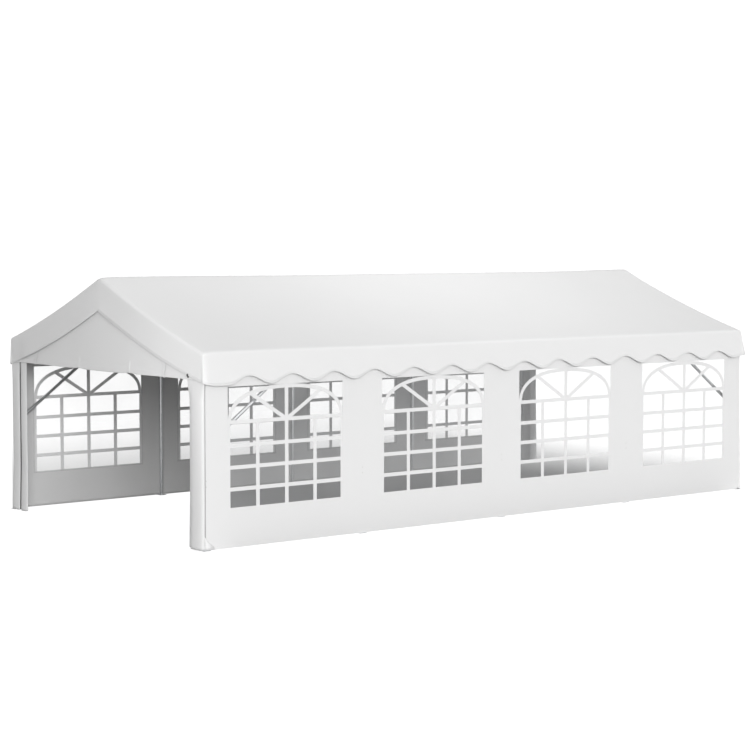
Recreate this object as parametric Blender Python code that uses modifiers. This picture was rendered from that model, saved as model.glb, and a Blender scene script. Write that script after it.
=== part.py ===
"""Marquee tent, 4 m wide and 8 m long, in metres with +Z up.

The length runs along Y, and both gable ends, at -Y and +Y, stand open as doorways.
Ten steel legs carry five portals, each a pair of rafters with its ridge and eave joints.
Purlins join the portals, and a brace stiffens each corner in the plane of its side wall.
The roof cover rests on the portals. Scalloped valances hang at its sides and plain ones at its
gables, over two side walls with clear windows, two gable panels and four gathered corner curtains.
"""

import math

import bmesh
import bpy
from mathutils import Matrix, Vector

# Driving dimensions of the frame
SPAN = 4.0                  # between the two rows of legs
BAY = 2.0                   # between neighbouring portals
BAYS = 4
EAVE_HEIGHT = 2.0           # outer skin of the roof above the legs
RIDGE_HEIGHT = 2.725        # where the two roof slopes would meet in a sharp edge
ROOF_SAG = 0.036            # how far each slope bows below a straight line, at its middle

# Tubes and their joints
TUBE_RADIUS = 0.019
SLEEVE_RADIUS = 0.0215      # outside of a socket that a tube plugs into
SLEEVE_LENGTH = 0.11        # from a joint's centre to a socket's mouth
END_SOCKET_START = 0.004    # an end portal's purlin sockets start this far inside its middle plane
SLEEVE_STEP = 0.0002        # each socket of a joint is this much slimmer than the one before it
TUBE_SIDES = 12
TUBE_BEVEL_RESOLUTION = 4   # gives a curve TUBE_SIDES sides
RAFTER_STEPS = 6            # straight lengths that follow the bend of one rafter
FOOT_PLATE = 0.09
FOOT_PLATE_THICKNESS = 0.004
PEG_HOLE_RADIUS = 0.006
PEG_HOLE_OFFSET = 0.032     # from the leg's axis, along both sides of the plate
PEG_HOLE_SIDES = 10
COUPLING_HEIGHT = 0.68      # middle of the joint between a leg's two lengths
COUPLING_LENGTH = 0.10
BRACE_RADIUS = 0.019
BRACE_FOOT_HEIGHT = 1.02    # where a brace meets its corner leg
BRACE_REACH = 1.28          # from the corner leg to where the brace meets the eave purlin
BRACE_OVERRUN = 0.010       # how far a brace runs past each of its two bolts
CROSSBAR_HEIGHT = 1.9

# Fabric, modelled thicker than the real cloth
CLOTH = 0.003
FILM = 0.002
SKIRT_HEIGHT = 1.955        # lower edge of the roof cover's own side strip
SIDE_VALANCE_TOP = 1.968
SIDE_VALANCE_LEAN = math.radians(6.0)
SCALLOP_PITCH = 0.544
SCALLOPS = 14
FIRST_SCALLOP = -3.482      # middle of the arch nearest the front of the right side
SCALLOP_LOW = 1.668
SCALLOP_HIGH = 1.757
SCALLOP_STEPS = 8           # straight lengths in one scallop
GABLE_VALANCE_DROP = 0.36   # depth under the ridge, measured upright
GABLE_VALANCE_TAPER = 0.06  # how much less deep it is at the eaves
GABLE_PANEL_FOOT = 1.735
WALL_FOOT = 0.012
WINDOW_WIDTH = 1.465
WINDOW_SILL = 0.413
WINDOW_HEAD = 1.652
CURTAIN_EDGE = 1.69         # from the middle of the doorway to a curtain's free edge
CURTAIN_TOP = 1.655         # the folds start here, under a flat strip up to the gable panel
CURTAIN_FOLDS = 3
CURTAIN_THICKNESS = 0.012
CURTAIN_FOLD_DEPTH = 0.022
CURTAIN_BOW = 0.008         # how far the middle folds stand out in front of the outer ones
CURTAIN_WRAP = 0.09         # how far a curtain turns onto the side wall
CURTAIN_FOLD_STEPS = 8      # straight lengths in one fold

GAP = 0.0003                # clearance between pieces that touch

HALF_SPAN = SPAN / 2.0
HALF_LENGTH = BAY * BAYS / 2.0
INNER_SKIN = SLEEVE_RADIUS + GAP       # underside of the cover, from the frame's centre line
OUTER_SKIN = INNER_SKIN + CLOTH        # outside of the cover, from the frame's centre line
RIDGE_ARC_STEPS = 4
SLOPE_STEPS = 8
EAVE_ARC_STEPS = 6

TENT = "marquee_tent"
FRONT_VIEW = Matrix.Rotation(math.pi / 2.0, 4, "X")                     # outline (x, z), thickness along Y
SIDE_VIEW = Matrix.Rotation(math.pi / 2.0, 4, "Z") @ FRONT_VIEW         # outline (y, z), thickness along X
PLAN_VIEW = Matrix.Identity(4)                                          # outline (x, y), thickness along Z
HALF_TURN = math.pi
SMOOTH_ANGLE = math.radians(40.0)


def clear_scene():
    for obj in list(bpy.data.objects):
        bpy.data.objects.remove(obj, do_unlink=True)


def tent_collection():
    collection = bpy.data.collections.new(TENT)
    bpy.context.scene.collection.children.link(collection)
    return collection


def make_material(name, colour, roughness, metallic=0.0, alpha=1.0):
    material = bpy.data.materials.new(name)
    material.use_nodes = True
    shader = material.node_tree.nodes["Principled BSDF"]
    shader.inputs["Base Color"].default_value = (*colour, 1.0)
    shader.inputs["Roughness"].default_value = roughness
    shader.inputs["Metallic"].default_value = metallic
    shader.inputs["Alpha"].default_value = alpha
    return material


# Helpers that turn outlines and rods into closed meshes

def steps(start, end, count):
    """count + 1 evenly spaced values from start to end."""
    return [start + (end - start) * i / count for i in range(count + 1)]


def mesh_from(obj, view=PLAN_VIEW):
    """The evaluated shape of a scratch object as a clean closed mesh in world space."""
    bpy.context.view_layer.update()
    evaluated = obj.evaluated_get(bpy.context.evaluated_depsgraph_get())
    mesh = bpy.data.meshes.new_from_object(evaluated)
    mesh.transform(view @ obj.matrix_world)
    bpy.data.objects.remove(obj, do_unlink=True)
    shell = bmesh.new()
    shell.from_mesh(mesh)
    bmesh.ops.remove_doubles(shell, verts=shell.verts, dist=1e-5)
    bmesh.ops.recalc_face_normals(shell, faces=shell.faces)
    shell.to_mesh(mesh)
    shell.free()
    return mesh


def scratch_curve(loops, depth, cyclic):
    """A scratch curve in the XY plane: filled outlines with thickness, or an open line for a ribbon."""
    curve = bpy.data.curves.new("scratch", "CURVE")
    curve.dimensions = "2D"
    curve.fill_mode = "BOTH" if cyclic else "NONE"
    curve.extrude = depth / 2.0
    for loop in loops:
        spline = curve.splines.new("POLY")
        spline.points.add(len(loop) - 1)
        spline.use_cyclic_u = cyclic
        for point, (across, up) in zip(spline.points, loop):
            point.co = (across, up, 0.0, 1.0)
    obj = bpy.data.objects.new("scratch", curve)
    bpy.context.scene.collection.objects.link(obj)
    return obj


def sheet_mesh(loops, thickness, view):
    """A flat sheet with the given outlines. Loops after the first are holes."""
    return mesh_from(scratch_curve(loops, thickness, cyclic=True), view)


def rod_object(start, end, radius):
    """A scratch solid rod between two points."""
    start, end = Vector(start), Vector(end)
    along = end - start
    turn = along.to_track_quat("Z", "Y").to_euler()
    bpy.ops.mesh.primitive_cylinder_add(vertices=TUBE_SIDES, radius=radius, depth=along.length,
                                        location=(start + end) / 2.0, rotation=turn)
    return bpy.context.object


def fused_mesh(base, extras):
    """One closed mesh from a scratch object and the scratch objects joined to it."""
    for extra in extras:
        union = base.modifiers.new("join", "BOOLEAN")
        union.operation = "UNION"
        union.solver = "EXACT"
        union.object = extra
    mesh = mesh_from(base)
    for extra in extras:
        bpy.data.objects.remove(extra, do_unlink=True)
    return mesh


def scratch_object(mesh):
    obj = bpy.data.objects.new("scratch", mesh)
    bpy.context.scene.collection.objects.link(obj)
    return obj


def place(name, mesh, material, location=(0.0, 0.0, 0.0), turn=0.0):
    """A named piece of the tent. Pieces of one kind may share a mesh."""
    if not mesh.materials:
        mesh.materials.append(material)
        mesh.shade_smooth()
        mesh.set_sharp_from_angle(angle=SMOOTH_ANGLE)
    obj = bpy.data.objects.new(name, mesh)
    obj.location = location
    obj.rotation_euler = (0.0, 0.0, turn)
    bpy.data.collections[TENT].objects.link(obj)
    return obj


# The roof's cross-section, shared by the rafters, the cover, the gable valances and the gable panels

def roof_height(x):
    """Height of the outer skin at a distance x from the ridge line."""
    reach = x / HALF_SPAN
    straight = RIDGE_HEIGHT - (RIDGE_HEIGHT - EAVE_HEIGHT) * reach
    return straight - 4.0 * ROOF_SAG * reach * (1.0 - reach)


def roof_lean(x):
    """Angle of the roof below the horizontal at a distance x from the ridge line."""
    fall = (RIDGE_HEIGHT - EAVE_HEIGHT) / HALF_SPAN
    bow = 4.0 * ROOF_SAG * (1.0 - 2.0 * x / HALF_SPAN) / HALF_SPAN
    return math.atan(fall + bow)


def frame_line(frame_x):
    """Height and lean of the frame's centre line at frame_x, square under the outer skin."""
    skin_x = frame_x
    for _ in range(20):
        skin_x = frame_x + OUTER_SKIN * math.sin(roof_lean(skin_x))
    lean = roof_lean(skin_x)
    return roof_height(skin_x) - OUTER_SKIN * math.cos(lean), lean


FRAME_RIDGE_Z, RIDGE_LEAN = frame_line(0.0)
FRAME_EAVE_Z, EAVE_LEAN = frame_line(HALF_SPAN)


def half_section(out):
    """Right half of the cross-section, at a distance out from the frame's centre line."""
    points = []
    for angle in steps(0.0, RIDGE_LEAN, RIDGE_ARC_STEPS):
        points.append((out * math.sin(angle), FRAME_RIDGE_Z + out * math.cos(angle)))
    for frame_x in steps(0.0, HALF_SPAN, SLOPE_STEPS)[1:-1]:
        height, lean = frame_line(frame_x)
        points.append((frame_x + out * math.sin(lean), height + out * math.cos(lean)))
    for angle in steps(EAVE_LEAN, math.pi / 2.0, EAVE_ARC_STEPS):
        points.append((HALF_SPAN + out * math.sin(angle), FRAME_EAVE_Z + out * math.cos(angle)))
    return points


def full_section(out):
    """The whole cross-section from the left eave over the ridge to the right eave."""
    right = half_section(out)
    left = [(-x, z) for x, z in reversed(right[1:])]
    return left + right


# Steel frame

def leg_mesh():
    """Tube in two lengths with a coupling, welded on a square foot plate with two peg holes."""
    half = FOOT_PLATE / 2.0
    outline = [(-half, -half), (half, -half), (half, half), (-half, half)]
    holes = []
    for side in (-1.0, 1.0):
        middle = side * PEG_HOLE_OFFSET
        angles = steps(0.0, 2.0 * math.pi, PEG_HOLE_SIDES)[:-1]
        holes.append([(middle + PEG_HOLE_RADIUS * math.cos(a), middle + PEG_HOLE_RADIUS * math.sin(a))
                      for a in angles])
    lifted = Matrix.Translation((0.0, 0.0, FOOT_PLATE_THICKNESS / 2.0))
    plate = scratch_object(sheet_mesh([outline, *holes], FOOT_PLATE_THICKNESS, lifted))
    tube_foot = FOOT_PLATE_THICKNESS / 2.0
    tube_top = FRAME_EAVE_Z - SLEEVE_LENGTH - GAP
    half_coupling = COUPLING_LENGTH / 2.0
    tube = rod_object((0.0, 0.0, tube_foot), (0.0, 0.0, tube_top), TUBE_RADIUS)
    coupling = rod_object((0.0, 0.0, COUPLING_HEIGHT - half_coupling),
                          (0.0, 0.0, COUPLING_HEIGHT + half_coupling), SLEEVE_RADIUS)
    return fused_mesh(plate, [tube, coupling])


def rafter_tube():
    """One bent tube from eave to eave over the ridge, following the roof's sag."""
    curve = bpy.data.curves.new("scratch", "CURVE")
    curve.dimensions = "3D"
    curve.bevel_depth = TUBE_RADIUS
    curve.bevel_resolution = TUBE_BEVEL_RESOLUTION
    curve.use_fill_caps = True
    line = [(x, 0.0, frame_line(abs(x))[0]) for x in steps(-HALF_SPAN, HALF_SPAN, 2 * RAFTER_STEPS)]
    spline = curve.splines.new("POLY")
    spline.points.add(len(line) - 1)
    for point, place_on_line in zip(spline.points, line):
        point.co = (*place_on_line, 1.0)
    obj = bpy.data.objects.new("scratch", curve)
    bpy.context.scene.collection.objects.link(obj)
    return scratch_object(mesh_from(obj))


def portal_mesh(reach_back, reach_on):
    """Rafters with ridge and eave joints. The purlin sockets reach back towards -Y and on towards +Y."""
    ridge = Vector((0.0, 0.0, FRAME_RIDGE_Z))
    back = Vector((0.0, -reach_back, 0.0))
    onward = Vector((0.0, reach_on, 0.0))
    slim = SLEEVE_RADIUS - SLEEVE_STEP
    slimmest = slim - SLEEVE_STEP
    sockets = [rod_object(ridge + back, ridge + onward, SLEEVE_RADIUS)]
    for side in (-1.0, 1.0):
        eave = Vector((side * HALF_SPAN, 0.0, FRAME_EAVE_Z))
        down_slope = Vector((side * math.cos(RIDGE_LEAN), 0.0, -math.sin(RIDGE_LEAN)))
        up_slope = Vector((-side * math.cos(EAVE_LEAN), 0.0, math.sin(EAVE_LEAN)))
        down = Vector((0.0, 0.0, -1.0))
        sockets.append(rod_object(ridge, ridge + down_slope * SLEEVE_LENGTH, slim))
        sockets.append(rod_object(eave + back, eave + onward, SLEEVE_RADIUS))
        sockets.append(rod_object(eave, eave + up_slope * SLEEVE_LENGTH, slim))
        sockets.append(rod_object(eave, eave + down * SLEEVE_LENGTH, slimmest))
    return fused_mesh(rafter_tube(), sockets)


def build_legs(steel):
    mesh = leg_mesh()
    for side_name, side in (("right", 1.0), ("left", -1.0)):
        for number in range(BAYS + 1):
            y = -HALF_LENGTH + number * BAY
            place(f"leg_{side_name}_{number + 1}", mesh, steel, (side * HALF_SPAN, y, 0.0))


def build_portals(steel):
    end_mesh = portal_mesh(-END_SOCKET_START, SLEEVE_LENGTH)
    middle_mesh = portal_mesh(SLEEVE_LENGTH, SLEEVE_LENGTH)
    for number in range(BAYS + 1):
        at_end = number in (0, BAYS)
        place(f"portal_{number + 1}", end_mesh if at_end else middle_mesh, steel,
              (0.0, -HALF_LENGTH + number * BAY, 0.0), HALF_TURN if number == BAYS else 0.0)


def build_purlins(steel):
    half_purlin = BAY / 2.0 - SLEEVE_LENGTH - GAP
    mesh = mesh_from(rod_object((0.0, -half_purlin, 0.0), (0.0, half_purlin, 0.0), TUBE_RADIUS))
    rows = (("ridge_purlin", 0.0, FRAME_RIDGE_Z),
            ("eave_purlin_right", HALF_SPAN, FRAME_EAVE_Z),
            ("eave_purlin_left", -HALF_SPAN, FRAME_EAVE_Z))
    for name, x, z in rows:
        for number in range(BAYS):
            y = -HALF_LENGTH + (number + 0.5) * BAY
            place(f"{name}_{number + 1}", mesh, steel, (x, y, z))


def build_crossbars(steel):
    """A bar between the two corner legs of each end, behind the gable panel."""
    half = HALF_SPAN - SLEEVE_RADIUS - GAP
    mesh = mesh_from(rod_object((-half, 0.0, 0.0), (half, 0.0, 0.0), TUBE_RADIUS))
    for end_name, end in (("front", -1.0), ("rear", 1.0)):
        place(f"crossbar_{end_name}", mesh, steel, (0.0, end * HALF_LENGTH, CROSSBAR_HEIGHT))


def build_braces(steel):
    """Each brace lies on the inner side of its corner leg and of the eave purlin."""
    inset = TUBE_RADIUS + GAP + BRACE_RADIUS
    for side_name, side in (("right", 1.0), ("left", -1.0)):
        for end_name, end in (("front", -1.0), ("rear", 1.0)):
            x = side * (HALF_SPAN - inset)
            foot = Vector((x, end * HALF_LENGTH, BRACE_FOOT_HEIGHT))
            head = Vector((x, end * (HALF_LENGTH - BRACE_REACH), FRAME_EAVE_Z))
            overrun = (head - foot).normalized() * BRACE_OVERRUN
            mesh = mesh_from(rod_object(foot - overrun, head + overrun, BRACE_RADIUS))
            place(f"brace_{side_name}_{end_name}", mesh, steel)


# Fabric

def build_roof_cover(cloth):
    """One sheet over the whole roof, with a short upright strip along each eave."""
    section = full_section(INNER_SKIN + CLOTH / 2.0)
    edge_x = section[-1][0]
    line = [(-edge_x, SKIRT_HEIGHT), *section, (edge_x, SKIRT_HEIGHT)]
    ribbon = scratch_curve([line], 2.0 * (HALF_LENGTH + OUTER_SKIN), cyclic=False)
    shell = ribbon.modifiers.new("cloth", "SOLIDIFY")
    shell.thickness = CLOTH
    shell.offset = 0.0
    shell.use_even_offset = True
    place("roof_cover", mesh_from(ribbon, FRONT_VIEW), cloth)


def scallop_edge(start, end):
    """Lower edge of a side valance: a row of arches between two low stretches."""
    first_low = FIRST_SCALLOP - SCALLOP_PITCH / 2.0
    middle = (SCALLOP_LOW + SCALLOP_HIGH) / 2.0
    rise = (SCALLOP_HIGH - SCALLOP_LOW) / 2.0
    edge = [(start, SCALLOP_LOW)]
    for count in steps(0.0, SCALLOPS, SCALLOPS * SCALLOP_STEPS):
        edge.append((first_low + count * SCALLOP_PITCH, middle - rise * math.cos(2.0 * math.pi * count)))
    edge.append((end, SCALLOP_LOW))
    return edge


def build_side_valances(cloth):
    end = HALF_LENGTH + OUTER_SKIN
    lower = scallop_edge(-end, end)
    outline = [(y, z - SIDE_VALANCE_TOP) for y, z in lower + [(end, SIDE_VALANCE_TOP), (-end, SIDE_VALANCE_TOP)]]
    hinge = Matrix.Translation((HALF_SPAN + OUTER_SKIN + GAP, 0.0, SIDE_VALANCE_TOP))
    leaning = hinge @ Matrix.Rotation(-SIDE_VALANCE_LEAN, 4, "Y")
    mesh = sheet_mesh([outline], CLOTH, leaning @ Matrix.Translation((CLOTH / 2.0, 0.0, 0.0)) @ SIDE_VIEW)
    place("side_valance_right", mesh, cloth)
    place("side_valance_left", mesh, cloth, turn=HALF_TURN)


def gable_edge(x):
    """Height of a gable valance's lower edge."""
    reach = abs(x) / HALF_SPAN
    return roof_height(abs(x)) - GABLE_VALANCE_DROP + GABLE_VALANCE_TAPER * reach * reach


def build_gable_valances(cloth):
    upper = full_section(OUTER_SKIN)
    edge_x = upper[-1][0]
    lower = [(x, gable_edge(x)) for x in steps(edge_x, -edge_x, 2 * SLOPE_STEPS)]
    y = -(HALF_LENGTH + OUTER_SKIN + GAP + CLOTH / 2.0)
    mesh = sheet_mesh([upper + lower], CLOTH, Matrix.Translation((0.0, y, 0.0)) @ FRONT_VIEW)
    place("gable_valance_front", mesh, cloth)
    place("gable_valance_rear", mesh, cloth, turn=HALF_TURN)


def build_gable_panels(cloth):
    upper = full_section(SLEEVE_RADIUS)
    edge_x = upper[-1][0]
    outline = upper + [(edge_x, GABLE_PANEL_FOOT), (-edge_x, GABLE_PANEL_FOOT)]
    y = -(HALF_LENGTH + INNER_SKIN + CLOTH / 2.0)
    mesh = sheet_mesh([outline], CLOTH, Matrix.Translation((0.0, y, 0.0)) @ FRONT_VIEW)
    place("gable_panel_front", mesh, cloth)
    place("gable_panel_rear", mesh, cloth, turn=HALF_TURN)


def window_outline(middle, inset=0.0):
    """A window's rectangle in its wall, as (y, z) corners."""
    half = WINDOW_WIDTH / 2.0 - inset
    sill, head = WINDOW_SILL + inset, WINDOW_HEAD - inset
    return [(middle - half, sill), (middle + half, sill), (middle + half, head), (middle - half, head)]


def build_walls(cloth, film):
    end = HALF_LENGTH + SLEEVE_RADIUS
    top = SKIRT_HEIGHT - GAP
    outline = [(-end, WALL_FOOT), (end, WALL_FOOT), (end, top), (-end, top)]
    middles = [-HALF_LENGTH + (number + 0.5) * BAY for number in range(BAYS)]
    x = HALF_SPAN + INNER_SKIN + CLOTH / 2.0
    windows = [window_outline(middle) for middle in middles]
    wall = sheet_mesh([outline, *windows], CLOTH, Matrix.Translation((x, 0.0, 0.0)) @ SIDE_VIEW)
    place("side_wall_right", wall, cloth)
    place("side_wall_left", wall, cloth, turn=HALF_TURN)
    pane = sheet_mesh([window_outline(0.0, GAP)], FILM, SIDE_VIEW)
    for side_name, side in (("right", 1.0), ("left", -1.0)):
        for number, middle in enumerate(middles):
            place(f"window_{side_name}_{number + 1}", pane, film, (side * x, middle, 0.0))


def curtain_outline():
    """Plan of the front right curtain: deep folds across the end, then a turn onto the side wall."""
    inner_y = HALF_LENGTH + INNER_SKIN
    inner_x = HALF_SPAN + OUTER_SKIN + GAP
    corner_x = inner_x + CURTAIN_THICKNESS
    wrap_y = HALF_LENGTH - CURTAIN_WRAP
    plan = [(CURTAIN_EDGE, inner_y), (inner_x, inner_y), (inner_x, wrap_y), (corner_x, wrap_y)]
    for count in steps(0.0, CURTAIN_FOLDS, CURTAIN_FOLDS * CURTAIN_FOLD_STEPS):
        swell = CURTAIN_FOLD_DEPTH * math.sin(math.pi * count) ** 2
        swell += CURTAIN_BOW * math.sin(math.pi * count / CURTAIN_FOLDS)
        x = corner_x + (CURTAIN_EDGE - corner_x) * count / CURTAIN_FOLDS
        plan.append((x, inner_y + CURTAIN_THICKNESS + swell))
    return plan


def build_curtains(cloth):
    """The ends' door cloths, each drawn aside and gathered at its corner leg."""
    plan = curtain_outline()
    folds_height = CURTAIN_TOP - WALL_FOOT
    strip_top = GABLE_PANEL_FOOT - GAP
    strip_foot = CURTAIN_TOP - CURTAIN_THICKNESS
    strip_edge = CURTAIN_EDGE + CLOTH
    edge_x = HALF_SPAN + SLEEVE_RADIUS
    strip_y = HALF_LENGTH + INNER_SKIN + CLOTH / 2.0
    for side_name, side in (("right", 1.0), ("left", -1.0)):
        for end_name, end in (("front", -1.0), ("rear", 1.0)):
            outline = [(side * x, end * y) for x, y in plan]
            lifted = Matrix.Translation((0.0, 0.0, WALL_FOOT + folds_height / 2.0))
            folds = scratch_object(sheet_mesh([outline], folds_height, lifted))
            rim = [(side * strip_edge, strip_foot), (side * edge_x, strip_foot),
                   (side * edge_x, strip_top), (side * strip_edge, strip_top)]
            at_end = Matrix.Translation((0.0, end * strip_y, 0.0))
            strip = scratch_object(sheet_mesh([rim], CLOTH / 2.0, at_end @ FRONT_VIEW))
            place(f"corner_curtain_{side_name}_{end_name}", fused_mesh(folds, [strip]), cloth)


def main():
    clear_scene()
    tent_collection()
    steel = make_material("galvanised_steel", (0.62, 0.63, 0.64), roughness=0.35, metallic=1.0)
    cloth = make_material("white_cover", (0.86, 0.86, 0.86), roughness=0.6)
    film = make_material("clear_film", (0.93, 0.94, 0.95), roughness=0.12, alpha=0.25)
    build_legs(steel)
    build_portals(steel)
    build_purlins(steel)
    build_crossbars(steel)
    build_braces(steel)
    build_roof_cover(cloth)
    build_side_valances(cloth)
    build_gable_valances(cloth)
    build_gable_panels(cloth)
    build_walls(cloth, film)
    build_curtains(cloth)


main()
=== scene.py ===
"""The look of a marquee tent, 4 m by 8 m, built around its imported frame. Metres, +Z up.

The steel nodes keep their shape and get a galvanised finish with bolts. Every fabric node is replaced by
thin cloth: one roof cover with its valances, two side walls with window films and welded bars, two gable
panels, and four curtains gathered at the corner legs. Right is +X and front is -Y.
"""

import math
from collections import namedtuple
from functools import partial

import bpy
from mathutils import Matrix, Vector, noise


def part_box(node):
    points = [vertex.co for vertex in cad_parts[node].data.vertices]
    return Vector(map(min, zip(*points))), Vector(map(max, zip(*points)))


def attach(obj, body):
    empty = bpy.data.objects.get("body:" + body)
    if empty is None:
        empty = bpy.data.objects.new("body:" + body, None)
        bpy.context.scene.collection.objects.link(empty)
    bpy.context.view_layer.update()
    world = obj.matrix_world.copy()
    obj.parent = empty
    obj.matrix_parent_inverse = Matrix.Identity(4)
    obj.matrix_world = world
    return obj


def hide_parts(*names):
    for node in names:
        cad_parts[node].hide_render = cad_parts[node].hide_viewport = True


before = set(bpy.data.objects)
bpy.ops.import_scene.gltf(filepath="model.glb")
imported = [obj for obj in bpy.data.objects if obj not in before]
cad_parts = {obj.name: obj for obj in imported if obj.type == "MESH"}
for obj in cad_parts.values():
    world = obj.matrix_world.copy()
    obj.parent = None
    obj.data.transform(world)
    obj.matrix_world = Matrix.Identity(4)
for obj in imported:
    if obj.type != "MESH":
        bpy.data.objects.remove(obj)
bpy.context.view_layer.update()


def node_middle(node):
    low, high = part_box(node)
    return (low + high) / 2.0


# Places read from the frame
CORNER_LEG = node_middle("leg_right_1")
HALF_SPAN = round(CORNER_LEG.x, 4)
HALF_LENGTH = round(-CORNER_LEG.y, 4)
BAY = round(node_middle("leg_right_2").y - CORNER_LEG.y, 4)
BAYS = 4
WALL_LOW, WALL_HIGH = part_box("side_wall_right")
WALL_TOP = WALL_HIGH.z
WALL_END = WALL_HIGH.y
WINDOW_LOW, WINDOW_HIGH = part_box("window_right_1")
WINDOW_SILL = WINDOW_LOW.z
WINDOW_HEAD = WINDOW_HIGH.z
WINDOW_WIDTH = WINDOW_HIGH.y - WINDOW_LOW.y
SCALLOP_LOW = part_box("side_valance_right")[0].z
PANEL_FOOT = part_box("gable_panel_front")[0].z
PANEL_Y = abs(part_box("gable_panel_front")[0].y)
BRACE_LOW, BRACE_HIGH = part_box("brace_right_front")

# Roof profile, as the frame carries it
EAVE_HEIGHT = 2.0
RIDGE_HEIGHT = 2.725
ROOF_SAG = 0.036
RIDGE_SOFTNESS = 0.03  # rounding of the cover over the ridge
COVER_LIFT = 0.0015  # outside of the cloth above the roof profile
FRONT_LIFT = 0.009  # extra height of the cover in the front bay
FRONT_LIFT_FADE = (-3.2, -1.4)
FRONT_BEND = 3.84  # from here the cover bends down to the front gable
REAR_LIFT = 0.015  # extra height of the ridge at the rear gable
REAR_LIFT_START = 2.6
REAR_PEAK = 0.85  # share of that height which only the ridge has
REAR_PEAK_WIDTH = 0.3
COVER_SLACK = 0.004  # sag of the cloth between two portals
COVER_RIPPLE = 0.0012
COVER_STEP = 0.0453  # spacing of the cover's points across the roof
CLOTH = 0.0014  # thickness

# The cover's edges and valances
EAVE_RADIUS = 0.045
GABLE_RADIUS = 0.038
CORNER_RADIUS = 0.018  # rounding of the cover round a corner, seen from above
CORNER_FULLNESS = 0.8  # 0 is a round corner, and 1 fills it out to a square one
CORE_X = 1.995  # the cover starts to turn down here
CORE_Y = 4.0
SIDE_FLARE = math.radians(6.5)
FRONT_FLARE = math.radians(0.5)
REAR_FLARE = math.radians(17.0)
CORNER_EASE = 0.003  # the valances' feet draw in towards the corners
CORNER_EASE_REACH = (0.14, 0.18)  # along a gable and along a side
CORNER_TURN = 0.07  # length of cloth round a corner, for the seam's place
CORNER_FROM = 3.85  # past here a side valance's edge rises to the corner
SIDE_CORNER_RISE = 0.018
GABLE_CORNER_RISE = 0.040
SEAM_PLACE = 0.012  # the seam of two valances lies this far from the corner on the gable
SEAM_DIP = 0.006
SEAM_SPREAD = 0.007
SEAM_FADES = (0.35, 0.5, 0.82, 0.95)  # the seam starts and ends between these shares of the drop
LEFT_STANDOFF = 0.022  # the left half of a gable valance hangs further off its panel
RIGHT_STANDOFF = 0.008
STANDOFF_BLEND = 0.3
STANDOFF_FADE = (1.6, 1.9)
GABLE_FADE = 1.9  # from here a gable valance's edge runs into the side valance's
SCALLOP_PITCH = 0.544
SCALLOPS = 14
FIRST_LOW = -3.482 - SCALLOP_PITCH / 2.0  # where the first scallop starts
SCALLOP_HIGH = 1.757
SCALLOP_STEPS = 16
GABLE_DROP = 0.353
GABLE_TAPER = 0.058
CORNER_COLUMNS = 12
GABLE_END = 0.08  # the last part of a gable's edge has finer columns
GABLE_END_COLUMNS = 6
EDGE_STEPS = 7
DROP_STEPS = 9
FLUTTER = 0.005  # how far a valance's free edge waves in and out
FINE_FLUTTER = 0.6 * FLUTTER
BINDING_WIDTH = 0.016
BINDING_THICKNESS = 0.0008
BINDING_POINTS = 5  # across the tape, from its outer edge round to the inner one

# Side walls and windows
WALL_X = WALL_LOW.x + 0.0027  # outside of a wall at its legs
WALL_SWELL = 0.006
WALL_SWELL_SHARES = (0.35, 0.5, 0.25)  # of the bow between head and foot, broad folds and fine ones
CLOTH_FOOT = 0.0045  # the walls and curtains reach down to the foot plates
WALL_CUT = 0.030  # a wall stops this far short of a rounded corner, over its curtain
WALL_STEP = 0.05
EDGE_STRIP = 0.002  # narrow faces along the cut edges keep the shading even
BAR_WIDTH = 0.040
BAR_THICKNESS = 0.0010
BAR_STEP = 0.045
BAR_LIFT = 0.0002  # between bars that cross
FILM = 0.0006  # thickness
FILM_INSET = 0.0022  # film's outer face behind the wall's outer face
FILM_OVERLAP = 0.02
PANE_SPAN = 1.41  # from border bar to border bar
UPRIGHT_WIDTH = 0.045
BAR_HEIGHTS = (0.601, 0.825, 1.049, 1.288)
SPRING_HEIGHT = BAR_HEIGHTS[-1]  # the arch stands on the top bar
ARCH_FULLNESS = 2.35  # 2 is an ellipse, and more is squarer
SPOKE_ANGLE = math.radians(32.5)
ARCH_STEPS = 64
HEM_WIDTH = 0.03
HEM_LIFT = 0.0008
HEM_THICKNESS = 0.0006
WINDOW_MIDDLES = [-HALF_LENGTH + (number + 0.5) * BAY for number in range(BAYS)]

# Gable panels
PANEL_STEP = 0.04
PANEL_ROWS = 22
PANEL_CROWDING = 1.4  # above 1, the rows lie closer together at the foot
PANEL_OVERHANG = 0.018  # past the corner legs
PANEL_TOP_GAP = 0.06  # below the roof line
PANEL_SET_BACK = 0.0008
PANEL_HANG = 0.004
PANEL_PULL = 0.010  # lift of the foot at a ridge
PANEL_PULL_REACH = 0.10
PANEL_HEM = 0.055
PANEL_HEM_EDGE = 0.012
PANEL_HEM_THICKNESS = 0.0035
PANEL_RIPPLE = 0.003
PANEL_DROP = 0.013  # the hem hangs below the panel's solid
STRAP_WIDTH = 0.042
STRAPS = ((-1.365, 0.43), (1.322, 0.18))  # place at the top, and sideways lean per height
STRAP_TOP = 1.90
STRAP_THICKNESS = 0.0016
STRAP_FRONT = 0.009  # in front of the panel's solid
# A strap's way down its panel's front, round the foot and up behind it: distance out, and height
STRAP_PATH = ((0.001, STRAP_TOP), (0.003, 1.85), (0.006, 1.80), (0.005, PANEL_FOOT + 0.02),
              (-0.002, PANEL_FOOT - 0.016), (-0.014, PANEL_FOOT - 0.018), (-0.022, PANEL_FOOT + 0.02))
TOGGLE_PLACE = (1.757, -4.037, 1.764)
TOGGLE_RADIUS = 0.014
TOGGLE_LEAN = 0.25  # sideways, for each metre it hangs down
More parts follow.
